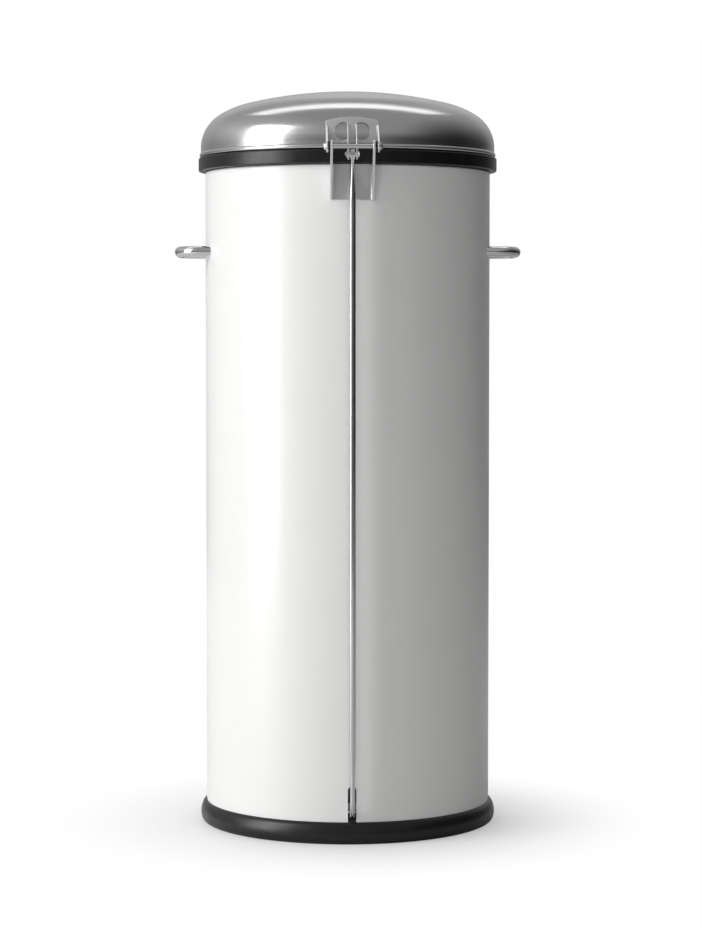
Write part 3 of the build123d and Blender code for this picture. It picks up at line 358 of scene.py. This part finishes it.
# %% [markdown]
# ## Which part wears which finish
# The engineering model's own meshes stay untouched, so a finish is set on the object and not on its
# mesh. Listing the parts under each finish shows at once what the bin is made of, and the count at
# the end shows whether a part was missed.

# %% Finishes by part
finishes = {
    enamel: ["body_shell"],
    spun: ["lid_dome"],
    brushed: ["hinge_body_bracket", "hinge_lid_bracket", "pedal_plate"],
    drawn_up: ["lift_rod"],
    polished: [
        "hinge_pin", "rod_rivet", "handle_left", "handle_right", "fulcrum_pin", "lever_tail_pin",
        "pedal_rivets", "bucket_ear_rivets", "bucket_bail",
    ],
    zinc: ["hinge_bracket_nuts", "handle_nuts", "hinge_backing_plate", "fulcrum_rivets", "lid_stiffener"],
    galvanised: [
        "base_plate", "floor_hoop", "fulcrum_bracket", "pedal_lever", "inner_bucket", "bucket_ears",
    ],
    rubber: ["base_ring", "lid_seal", "pedal_pad", "pedal_stop"],
    nylon: ["hinge_washers", "bail_grip"],
}
for finish, names in finishes.items():
    for name in names:
        for place in nodes[name].material_slots:
            place.link = "OBJECT"
            place.material = finish
print("finished:", sum(len(names) for names in finishes.values()), "of", len(nodes), "parts")

# %% [markdown]
# ## Turned and rolled pieces
# The dome and the inner bucket are both round, so each is one closed outline turned about the axis. A
# Screw modifier on a profile would do for the dome. The bucket's lock seam stands out of its wall at
# one place only, so both are laid out in mesh code instead, and a piece may say how far it swells at
# each place and angle.

# %% Turning an outline about the axis
SAME_PLACE = 1e-6


def finished_piece(name, mesh, crease_degrees=40):
    """Turn a bmesh into a smooth-shaded object that keeps its folds sharp."""
    bmesh.ops.recalc_face_normals(mesh, faces=mesh.faces)
    data = bpy.data.meshes.new(name)
    mesh.to_mesh(data)
    mesh.free()
    for face in data.polygons:
        face.use_smooth = True
    data.set_sharp_from_angle(angle=math.radians(crease_degrees))
    piece = bpy.data.objects.new(name, data)
    bpy.context.collection.objects.link(piece)
    print(name + ":", len(data.polygons), "faces")
    return piece


def even_turn(count):
    """This many angles, evenly round a full turn."""
    return [math.tau * k / count for k in range(count)]


def turned(name, outline, angles, swell=None):
    """A closed outline of (radius, height) turned about the Z axis; swell adds to the radius."""
    mesh = bmesh.new()
    rings = []
    for angle in angles:
        ring = []
        for radius, z in outline:
            out = radius + (swell(radius, z, angle) if swell else 0.0)
            ring.append(mesh.verts.new((out * math.cos(angle), out * math.sin(angle), z)))
        rings.append(ring)
    for here, following in zip(rings, rings[1:] + rings[:1]):
        for k in range(len(outline)):
            after = (k + 1) % len(outline)
            mesh.faces.new((here[k], following[k], following[after], here[after]))
    bmesh.ops.remove_doubles(mesh, verts=mesh.verts, dist=SAME_PLACE)
    return finished_piece(name, mesh)


def arc_points(centre, radius, start, stop, count):
    """Points on a round stretch of an outline, angles in degrees from the outward direction."""
    steps = [math.radians(start + (stop - start) * k / count) for k in range(count + 1)]
    return [(centre[0] + radius * math.cos(a), centre[1] + radius * math.sin(a)) for a in steps]


print("points closer than", SAME_PLACE / MM, "mm are joined")

# %% [markdown]
# ## Lid dome
# A disc of stainless steel is spun over a wooden form, so every section through the axis is the same
# outline: a steep shoulder, a wider one above it and a nearly flat crown. Where two arcs meet they
# share a tangent, or the highlight would break there. The edge is curled into a bead, which is safe
# to touch and keeps the rim round.

# %% Lid dome
DOME_SHEET = 0.8 * MM
DOME_BEAD = 2.6 * MM
BEAD_PAST_SIDE = 1.2 * MM
DOME_SIDE = 6.75 * MM
LOWER_ARC = 35.6 * MM
LOWER_TURN = 57.0
UPPER_ARC = 79.0 * MM
CROWN_ARC = 407.0 * MM
# Points along each of the outline's stretches, and outlines round the axis.
LOWER_POINTS = 22
UPPER_POINTS = 14
CROWN_POINTS = 16
CURL_POINTS = 26
DOME_OUTLINES = 192

dome_low, dome_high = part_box("lid_dome")
dome_radius = dome_high.x - BEAD_PAST_SIDE
bead_centre = (dome_high.x - DOME_BEAD, dome_low.z + DOME_BEAD)


def dome_section(inset):
    """The dome's section from its side to the crown, this far inside its outer skin."""
    turn = math.radians(LOWER_TURN)
    apart = UPPER_ARC - LOWER_ARC
    lower = (dome_radius - LOWER_ARC, bead_centre[1] + DOME_SIDE)
    upper = (lower[0] - apart * math.cos(turn), lower[1] - apart * math.sin(turn))
    crown = (0.0, upper[1] - math.sqrt((CROWN_ARC - UPPER_ARC) ** 2 - upper[0] ** 2))
    top_turn = math.degrees(math.atan2(upper[1] - crown[1], upper[0]))
    points = arc_points(lower, LOWER_ARC - inset, 0, LOWER_TURN, LOWER_POINTS)
    points += arc_points(upper, UPPER_ARC - inset, LOWER_TURN, top_turn, UPPER_POINTS)[1:]
    points += arc_points(crown, CROWN_ARC - inset, top_turn, 90, CROWN_POINTS)[1:]
    # The last point is put exactly on the axis.
    return points[:-1] + [(0.0, points[-1][1])]


def curled_bead():
    """The curl at the rim, from the dome's inner skin round to its outer skin."""
    to_outside = math.degrees(math.acos((dome_radius - bead_centre[0]) / DOME_BEAD))
    to_inside = math.degrees(math.acos((dome_radius - DOME_SHEET - bead_centre[0]) / DOME_BEAD))
    return arc_points(bead_centre, DOME_BEAD, to_inside - 360, to_outside, CURL_POINTS)


dome_outline = dome_section(0.0) + dome_section(DOME_SHEET)[::-1] + curled_bead()
dome = turned("spun_dome", dome_outline, even_turn(DOME_OUTLINES))
dome.data.materials.append(spun)
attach(dome, "lid")
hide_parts("lid_dome")

# %% [markdown]
# ## Inner bucket
# A plain tube of thin zinc-coated sheet would dent and go oval. So the maker rolls beads into the
# wall, curls the rim over a wire and presses the floor in behind a plain foot. The wall leans
# outwards a little, so that buckets stack. Its overall size comes from the engineering model's bucket.

# %% Bucket sizes
SHEET = 0.8 * MM
RIM_WIRE = 2.2 * MM
LEAN = 8.0 * MM
FLOOR_STEP = 3.0 * MM
BEAD_OUT = 1.5 * MM
BEAD_HALF = 4.0 * MM
# Two pairs of beads, as shares of the wall's height.
BEAD_SHARES = (0.13, 0.17, 0.78, 0.82)

bucket_low, bucket_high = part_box("inner_bucket")
rim_z = bucket_high.z - RIM_WIRE
mouth_radius = bucket_high.x - 2 * RIM_WIRE + SHEET
foot_radius = mouth_radius - LEAN
wall_height = rim_z - bucket_low.z
bead_heights = [bucket_low.z + wall_height * share for share in BEAD_SHARES]
print("bucket mouth:", round(2 * mouth_radius / MM, 1), "mm, wall:", round(wall_height / MM, 1), "mm")

# %% [markdown]
# ## Bucket outline
# The outline runs up the outside of the wall, round the curl, down the inside and across the floor.
# The sheet is as thick all the way up the wall, so the inside is the outside moved in by one sheet.
# The wire makes the curl round, so the outline goes most of the way round a circle there.

# %% Bucket outline
BEAD_POINTS = 5
CURL_FROM = -100
RIM_POINTS = 18
CORNER_ARC = 3.2 * MM
CORNER_POINTS = 6
# The wall's own points start just above the corner's round, or the sheet would fold there.
WALL_FROM = FLOOR_STEP + SHEET + CORNER_ARC + 0.5 * MM
# The floor's middle is pressed up over a short slope, given as shares of the foot's radius.
PRESSED_UP = 1.4 * SHEET
SLOPE_OUTER = 0.82
SLOPE_INNER = 0.8


def wall_radius(z):
    """The wall's outer radius, without its beads."""
    return foot_radius + LEAN * (z - bucket_low.z) / wall_height


def bead_height(z):
    """How far the rolled beads push the wall out at this height."""
    nearest = min(abs(z - bead) for bead in bead_heights)
    if nearest >= BEAD_HALF:
        return 0.0
    return BEAD_OUT * 0.5 * (1 + math.cos(math.pi * nearest / BEAD_HALF))


def wall_levels():
    """Heights along the wall: close together over each bead, far apart between them."""
    levels = [bucket_low.z + WALL_FROM, rim_z - 3 * RIM_WIRE]
    for bead in bead_heights:
        levels += [bead + BEAD_HALF * k / BEAD_POINTS for k in range(-BEAD_POINTS, BEAD_POINTS + 1)]
    return sorted(levels)


def bucket_outline():
    """Up the outside of the wall, round the curl, down the inside and across the floor."""
    outside = [(wall_radius(z) + bead_height(z), z) for z in wall_levels()]
    inside = [(radius - SHEET, z) for radius, z in reversed(outside)]
    curl = arc_points((mouth_radius - SHEET + RIM_WIRE, rim_z), RIM_WIRE, CURL_FROM, 180, RIM_POINTS)
    under_z = bucket_low.z + FLOOR_STEP
    top_z = under_z + SHEET
    foot = [(foot_radius - SHEET, bucket_low.z), (foot_radius, bucket_low.z)]
    corner_centre = (foot_radius - SHEET - CORNER_ARC, top_z + CORNER_ARC)
    corner = arc_points(corner_centre, CORNER_ARC, 0, -90, CORNER_POINTS)
    floor = [(foot_radius * SLOPE_OUTER, top_z), (foot_radius * SLOPE_INNER, top_z + PRESSED_UP)]
    centre = [(0.0, top_z + PRESSED_UP), (0.0, under_z + PRESSED_UP)]
    under = [(foot_radius * SLOPE_INNER, under_z + PRESSED_UP), (foot_radius * SLOPE_OUTER, under_z)]
    tuck = [(foot_radius - 2 * SHEET, under_z), (foot_radius - SHEET, under_z - SHEET)]
    return foot + outside + curl + inside + corner + floor + centre + under + tuck


print("bucket outline:", len(bucket_outline()), "points")

# %% [markdown]
# ## Bucket seam
# The wall was a flat strip once. Its two ends are hooked into each other and pressed flat, which
# leaves a raised band down one side. Two angles close together at each edge of the band make its
# step steep.

# %% Bucket seam
SEAM_ANGLE = math.radians(90)
SEAM_HALF_WIDTH = 3.5 * MM
SEAM_OUT = 0.7 * MM
SEAM_EDGE = 0.3 * MM
BUCKET_OUTLINES = 160


def seam_swell(radius, z, angle):
    """The lock seam down one side stands out of the wall, between its foot and its rim."""
    on_wall = radius > foot_radius - SHEET / 2 and bucket_low.z + FLOOR_STEP < z < rim_z - 2 * RIM_WIRE
    across = abs(angle - SEAM_ANGLE) * foot_radius
    return SEAM_OUT if on_wall and across < SEAM_HALF_WIDTH else 0.0


seam_edges = [
    SEAM_ANGLE + side * (SEAM_HALF_WIDTH + step) / foot_radius
    for side in (-1, 1)
    for step in (-SEAM_EDGE, SEAM_EDGE)
]
bucket_angles = sorted(even_turn(BUCKET_OUTLINES) + seam_edges)
bucket = turned("rolled_bucket", bucket_outline(), bucket_angles, seam_swell)
bucket.data.materials.append(galvanised)
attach(bucket, "bucket")
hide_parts("inner_bucket")

# %% [markdown]
# ## Bars and sleeves
# A bent bar is a ring carried along a path. A curve with a bevel would do that, but here a ring has
# to change on its way: a handle's legs end on the round body, and go on as thinner threaded studs,
# and the bail's sleeve has ribs. So each piece lists its rings, and one helper joins them.

# %% Joining rings
BAR_POINTS = 40


def ring_about(middle, outward, size, around=BAR_POINTS):
    """A ring about a point, square to a level bar: outward is the level direction across the bar."""
    turns = even_turn(around)
    return [middle + (outward * math.cos(t) + Vector((0, 0, math.sin(t)))) * size for t in turns]


def joined(name, rings):
    """A closed solid through rings of points, with a flat cap at each end."""
    mesh = bmesh.new()
    placed = [[mesh.verts.new(point) for point in ring] for ring in rings]
    for here, following in zip(placed, placed[1:]):
        for k in range(len(here)):
            after = (k + 1) % len(here)
            mesh.faces.new((here[k], here[after], following[after], following[k]))
    mesh.faces.new(placed[0])
    mesh.faces.new(placed[-1])
    return finished_piece(name, mesh)


print("a bar's ring has", BAR_POINTS, "points")

# %% [markdown]
# ## Side handles
# Each is a polished bar bent to a U, held by two studs and nuts from inside. The bends are wide, as a
# bar bends without kinking. The foot of each leg is cut to the body's round, so that it sits close.

# %% Side handles
HANDLE_BEND = 22.0 * MM
STUD = 3.0 * MM
THREAD_PITCH = 1.0 * MM
THREAD_DEPTH = 0.3 * MM
THREAD_RINGS = 4
# The thread stops this far inside the body's outer radius, and a plain shank goes through the wall.
THREAD_STOP = 8.0 * MM
BEND_STEPS = 24

body_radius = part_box("body_shell")[1].x
handle_bar = worked_steel("polished handle bar", (1.5, 1.5, 1.5), 0.05, 0.1, 0.001, "#D6D6D7")


def handle_rings(low, high):
    """Half of a handle, from its stud inside the body to the middle of its bar, on the +X side."""
    bar = (high.z - low.z) / 2
    z = (high.z + low.z) / 2
    leg_y = low.y + bar
    across = Vector((0, 1, 0))
    corner = Vector((high.x - bar - HANDLE_BEND, leg_y + HANDLE_BEND, z))
    spacing = THREAD_PITCH / THREAD_RINGS
    rings = []
    for step in range(round((body_radius - THREAD_STOP - low.x) / spacing)):
        cut = THREAD_DEPTH * abs(math.sin(math.pi * step / THREAD_RINGS))
        rings.append(ring_about(Vector((low.x + step * spacing, leg_y, z)), across, STUD - cut))
    for radius in (STUD, bar):
        ring = ring_about(Vector((0, leg_y, z)), across, radius)
        rings.append([Vector((math.sqrt(body_radius ** 2 - p.y ** 2), p.y, p.z)) for p in ring])
    for step in range(BEND_STEPS + 1):
        angle = math.radians(-90 + 90 * step / BEND_STEPS)
        outward = Vector((math.cos(angle), math.sin(angle), 0))
        rings.append(ring_about(corner + outward * HANDLE_BEND, -outward, bar))
    return rings


def side_handle(name, node):
    """A whole handle: half of it, and the same rings mirrored, on the side where the node is."""
    low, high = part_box(node)
    side = 1 if high.x > 0 else -1
    if side < 0:
        low, high = Vector((-high.x, low.y, low.z)), Vector((-low.x, high.y, high.z))
    half = handle_rings(low, high)
    other = [[Vector((p.x, -p.y, p.z)) for p in ring] for ring in reversed(half)]
    rings = [[Vector((side * p.x, p.y, p.z)) for p in ring] for ring in half + other]
    handle = joined(name, rings)
    handle.data.materials.append(handle_bar)
    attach(handle, "root")
    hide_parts(node)


side_handle("bent_handle_left", "handle_left")
side_handle("bent_handle_right", "handle_right")

# %% [markdown]
# ## Grip on the bail
# The bail is a bare wire, which would cut into the hand that carries a full bucket, so a nylon sleeve
# is moulded round its middle. It has rounded ends and shallow ribs for the fingers. Each section of
# it is a ring square to the wire, so the rings follow the same bend as the bail.

# %% Grip on the bail
GRIP_RIBS = 9
RIB_DEPTH = 0.55 * MM
# The crests of the ribs and the plain ends, as shares of a rib's depth.
CREST_DROP = 0.2
PLAIN_LEVEL = 0.9
# Where along half of the sleeve the ribs end, and where its end starts to round off.
RIBBED_TO = 0.86
ROUND_FROM = 0.95
THINNEST = 0.1 * MM
GRIP_STEPS = 216
GRIP_POINTS = 28

bail_low, bail_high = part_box("bucket_bail")
grip_low, grip_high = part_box("bail_grip")
wire_radius = (bail_high.z - bail_low.z) / 2
bail_radius = bail_high.x - wire_radius
bend_centre = Vector((0, bail_low.y + wire_radius + bail_radius, (bail_low.z + bail_high.z) / 2))
grip_radius = (grip_high.z - grip_low.z) / 2
half_sweep = math.asin(grip_high.x / (bail_radius + grip_radius))


def grip_size(along):
    """The sleeve's radius at a place from -1 to 1 along it: ribs, and ends that round off."""
    wave = abs(math.sin(math.pi * GRIP_RIBS * (along + 1) / 2))
    level = wave if abs(along) < RIBBED_TO else PLAIN_LEVEL
    rounding = max(0.0, (abs(along) - ROUND_FROM) / (1 - ROUND_FROM))
    shoulder = math.sqrt(max(0.0, 1 - rounding ** 2))
    full = grip_radius - RIB_DEPTH * (1 + CREST_DROP - level)
    return wire_radius + THINNEST + (full - wire_radius) * shoulder


def grip_ring(step):
    """The sleeve's ring at this step along the bail's bend."""
    along = -1 + 2 * step / GRIP_STEPS
    angle = along * half_sweep
    outward = Vector((math.sin(angle), -math.cos(angle), 0))
    size = min(grip_size(along), grip_radius)
    return ring_about(bend_centre + outward * bail_radius, outward, size, GRIP_POINTS)


grip = joined("ribbed_grip", [grip_ring(step) for step in range(GRIP_STEPS + 1)])
grip.data.materials.append(nylon)
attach(grip, "bail")
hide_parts("bail_grip")

# %% [markdown]
# ## Floor
# The bin stands on a pale floor, which catches its shadow and throws light back up under it. A floor
# in full light would still end in a grey line against a white backdrop. So what the camera sees of it
# turns from lit floor under the bin into plain white a short way out. Other rays see the lit floor.

# %% Floor
WHITE = (1.0, 1.0, 1.0, 1.0)
FLOOR_RADIUS = 6.0
FLOOR_POINTS = 96
FADED_AT = 0.3


def studio_floor():
    """Pale floor that is lit as any floor is, and that fades into white a short way out."""
    material, tree, shading = new_material("pale studio floor", "#F4F4F3", 0.6)
    place = object_place(tree)
    speck = stretched_noise(tree, place, (30.0, 30.0, 30.0))
    tree.links.new(remap(tree, speck, 0.55, 0.7), shading.inputs["Roughness"])
    away = add_node(tree, "ShaderNodeVectorMath", {0: place}, operation="LENGTH")
    inputs = {"Value": away.outputs["Value"], "From Min": 0.0, "From Max": FADED_AT}
    fade = add_node(tree, "ShaderNodeMapRange", inputs, interpolation_type="SMOOTHSTEP")
    seen = add_node(tree, "ShaderNodeLightPath")
    inputs = {0: fade.outputs["Result"], 1: seen.outputs["Is Camera Ray"]}
    amount = add_node(tree, "ShaderNodeMath", inputs, operation="MULTIPLY")
    backdrop = add_node(tree, "ShaderNodeEmission", {"Color": WHITE, "Strength": 1.0})
    blend = add_node(tree, "ShaderNodeMixShader", {"Fac": amount.outputs[0]})
    tree.links.new(shading.outputs["BSDF"], blend.inputs[1])
    tree.links.new(backdrop.outputs["Emission"], blend.inputs[2])
    tree.links.new(blend.outputs["Shader"], tree.nodes["Material Output"].inputs["Surface"])
    return material


floor_mesh = bpy.data.meshes.new("floor")
shape = bmesh.new()
bmesh.ops.create_circle(shape, cap_ends=True, segments=FLOOR_POINTS, radius=FLOOR_RADIUS)
shape.to_mesh(floor_mesh)
shape.free()
floor = bpy.data.objects.new("floor", floor_mesh)
bpy.context.collection.objects.link(floor)
floor.data.materials.append(studio_floor())
print("floor:", len(floor_mesh.vertices), "points")

# %% [markdown]
# ## Softboxes
# Each line says where a softbox stands round the bin, in degrees of azimuth and elevation and in
# metres, then how wide and tall it is, its power in watts and the height it is aimed at. The key is
# tall and stands on the left of the view, so it draws one long highlight down the enamel. A wide,
# shallow box high behind the bin lights the dome's crown. The front and far side boxes only lift the
# enamel's shade. In bare steel they would be hard white patches, so no glossy ray sees them.

# %% Softboxes
height = cad_high.z - cad_low.z


def softbox(name, azimuth, elevation, distance, width, tall, power, target_z):
    """A rectangular softbox aimed at the object's axis. Azimuth is from +Y towards +X."""
    light = bpy.data.lights.new(name, "AREA")
    light.shape = "RECTANGLE"
    light.size, light.size_y = width, tall
    light.energy = power
    holder = bpy.data.objects.new(name, light)
    bpy.context.collection.objects.link(holder)
    a, e = math.radians(azimuth), math.radians(elevation)
    away = Vector((math.sin(a) * math.cos(e), math.cos(a) * math.cos(e), math.sin(e)))
    holder.location = Vector((0, 0, target_z)) + away * distance
    holder.rotation_euler = away.to_track_quat("Z", "Y").to_euler()
    return holder


softbox("key", 69, 14, 2.4, 1.2, 2.6, 50, height * 0.5)
fill = softbox("front", 6, 12, 2.6, 1.6, 1.2, 13, height * 0.5)
fill.visible_glossy = False
far_side = softbox("far side", 158, 24, 2.6, 1.8, 1.8, 22, height * 0.5)
far_side.visible_glossy = False
softbox("top", 180, 66, 1.7, 2.2, 0.55, 5.5, height)

# %% [markdown]
# ## Room
# Polished steel looks like whatever is round it, so the room matters as much as the lights. It could
# be a picture of a studio, but a few soft areas of light worked out from the direction are enough,
# and each can be moved by itself. Paint and rubber take only a share of this light, or they would go
# flat, and the camera sees a plain white backdrop.

# %% Room
DARKEST = 0.02
SHARE_FOR_PAINT = 0.28

world = bpy.data.worlds.new("studio")
bpy.context.scene.world = world
world.use_nodes = True
world.cycles.sampling_method = "NONE"
sky = world.node_tree
sky.nodes.clear()
facing = add_node(sky, "ShaderNodeTexCoord")
direction = add_node(sky, "ShaderNodeSeparateXYZ", {"Vector": facing.outputs["Generated"]})


def glow(axis, start, stop, amount):
    """From 0 to amount as a direction's x, y or z goes from start to stop."""
    inputs = {"Value": direction.outputs[axis], "From Min": start, "From Max": stop, "To Max": amount}
    return add_node(sky, "ShaderNodeMapRange", inputs).outputs["Result"]


# A ceiling that stops short of the -X side, a wall each at +X and -Y, and a faint one at +Y.
overhead = {0: glow("Z", 0.0, 0.4, 0.36), 1: glow("X", -1.0, -0.6, 1.0)}
ceiling = add_node(sky, "ShaderNodeMath", overhead, operation="MULTIPLY")
walls = {0: glow("X", 0.35, 0.9, 0.3), 1: glow("Y", -0.7, -0.95, 0.3)}
sides = add_node(sky, "ShaderNodeMath", walls, operation="ADD")
ahead = glow("Y", 0.8, 0.97, 0.13)
inputs = {0: ceiling.outputs[0], 1: sides.outputs[0]}
bright = add_node(sky, "ShaderNodeMath", inputs, operation="ADD")
faint = add_node(sky, "ShaderNodeMath", {0: ahead, 1: DARKEST}, operation="ADD")
inputs = {0: bright.outputs[0], 1: faint.outputs[0]}
seen_in_metal = add_node(sky, "ShaderNodeMath", inputs, operation="ADD")
ray = add_node(sky, "ShaderNodeLightPath")
inputs = {"Value": ray.outputs["Is Diffuse Ray"], "To Min": 1.0, "To Max": SHARE_FOR_PAINT}
dimmed = add_node(sky, "ShaderNodeMapRange", inputs)
inputs = {0: seen_in_metal.outputs[0], 1: dimmed.outputs["Result"]}
level = add_node(sky, "ShaderNodeMath", inputs, operation="MULTIPLY")
room = add_node(sky, "ShaderNodeBackground", {"Color": WHITE, "Strength": level.outputs[0]})
backdrop = add_node(sky, "ShaderNodeBackground", {"Color": WHITE, "Strength": 1.0})
choose = add_node(sky, "ShaderNodeMixShader", {"Fac": ray.outputs["Is Camera Ray"]})
sky.links.new(room.outputs["Background"], choose.inputs[1])
sky.links.new(backdrop.outputs["Background"], choose.inputs[2])
end = add_node(sky, "ShaderNodeOutputWorld")
sky.links.new(choose.outputs["Shader"], end.inputs["Surface"])
print("room:", len(sky.nodes), "nodes")

# %% [markdown]
# ## Camera
# The camera stands behind the bin, a little off its middle, and looks slightly down. A short lens from
# nearby would make the body taper. A long lens from two and a half metres keeps its sides almost
# parallel, as in a catalogue.

# %% Camera
LENS_MM = 101.6
SENSOR_MM = 36.0
AZIMUTH = math.radians(178.2)
TILT_DOWN = math.radians(2.97)
DISTANCE = 2.504
SHIFT_RIGHT = 0.0032
LENS_HEIGHT = 0.464

away = Vector((math.sin(AZIMUTH), -math.cos(AZIMUTH), 0))
right = Vector((math.cos(AZIMUTH), math.sin(AZIMUTH), 0))
camera_data = bpy.data.cameras.new("camera")
camera_data.lens = LENS_MM
camera_data.sensor_width = SENSOR_MM
camera = bpy.data.objects.new("camera", camera_data)
bpy.context.collection.objects.link(camera)
camera.location = away * DISTANCE + right * SHIFT_RIGHT + Vector((0, 0, LENS_HEIGHT))
looking = -away * math.cos(TILT_DOWN) + Vector((0, 0, -math.sin(TILT_DOWN)))
camera.rotation_euler = looking.to_track_quat("-Z", "Y").to_euler()
bpy.context.scene.camera = camera
bpy.context.scene.view_settings.view_transform = "Standard"
print("camera at", [round(c, 3) for c in camera.location])
